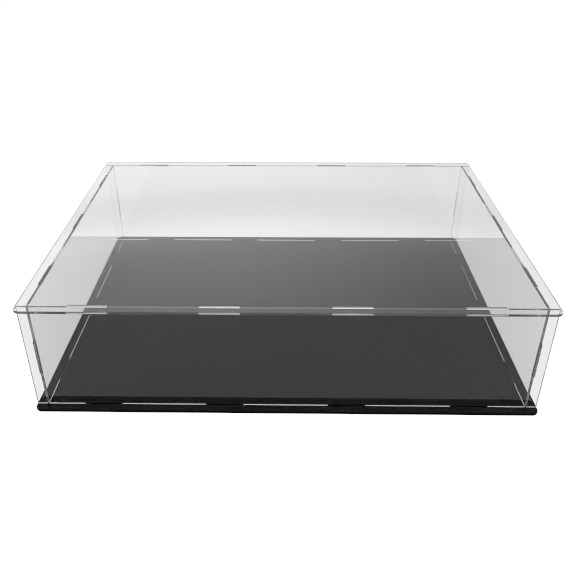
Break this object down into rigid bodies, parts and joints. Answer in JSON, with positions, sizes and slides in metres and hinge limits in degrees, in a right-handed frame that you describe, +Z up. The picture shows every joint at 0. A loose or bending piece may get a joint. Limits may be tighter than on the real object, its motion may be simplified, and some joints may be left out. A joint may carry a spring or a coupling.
{
  "type": "book display case",
  "caption": "Low clear display case for an open book: clear tabbed walls and a lift-off clear top plate on a black base plate.",
  "frame": {"origin": "middle of the base plate's underside", "axes": "+X along the long side, +Y from the front to the back, +Z up"},
  "size_m": [0.6, 0.457, 0.143],
  "materials": {
    "black_acrylic": "smooth black cast sheet with cut edges",
    "clear_acrylic": "clear polished cast sheet with cut edges"
  },
  "bodies": {
    "base": {"base_plate": "black_acrylic"},
    "walls": {"front_panel": "clear_acrylic", "back_panel": "clear_acrylic", "left_panel": "clear_acrylic", "right_panel": "clear_acrylic"},
    "lid": {"top_plate": "clear_acrylic"}
  },
  "joints": [
    {"name": "walls_lift", "type": "slide", "parent": "base", "child": "walls", "axis": [0, 0, 1], "range_m": [0, 0.15]},
    {"name": "lid_lift", "type": "slide", "parent": "walls", "child": "lid", "axis": [0, 0, 1], "range_m": [0, 0.08]}
  ]
}
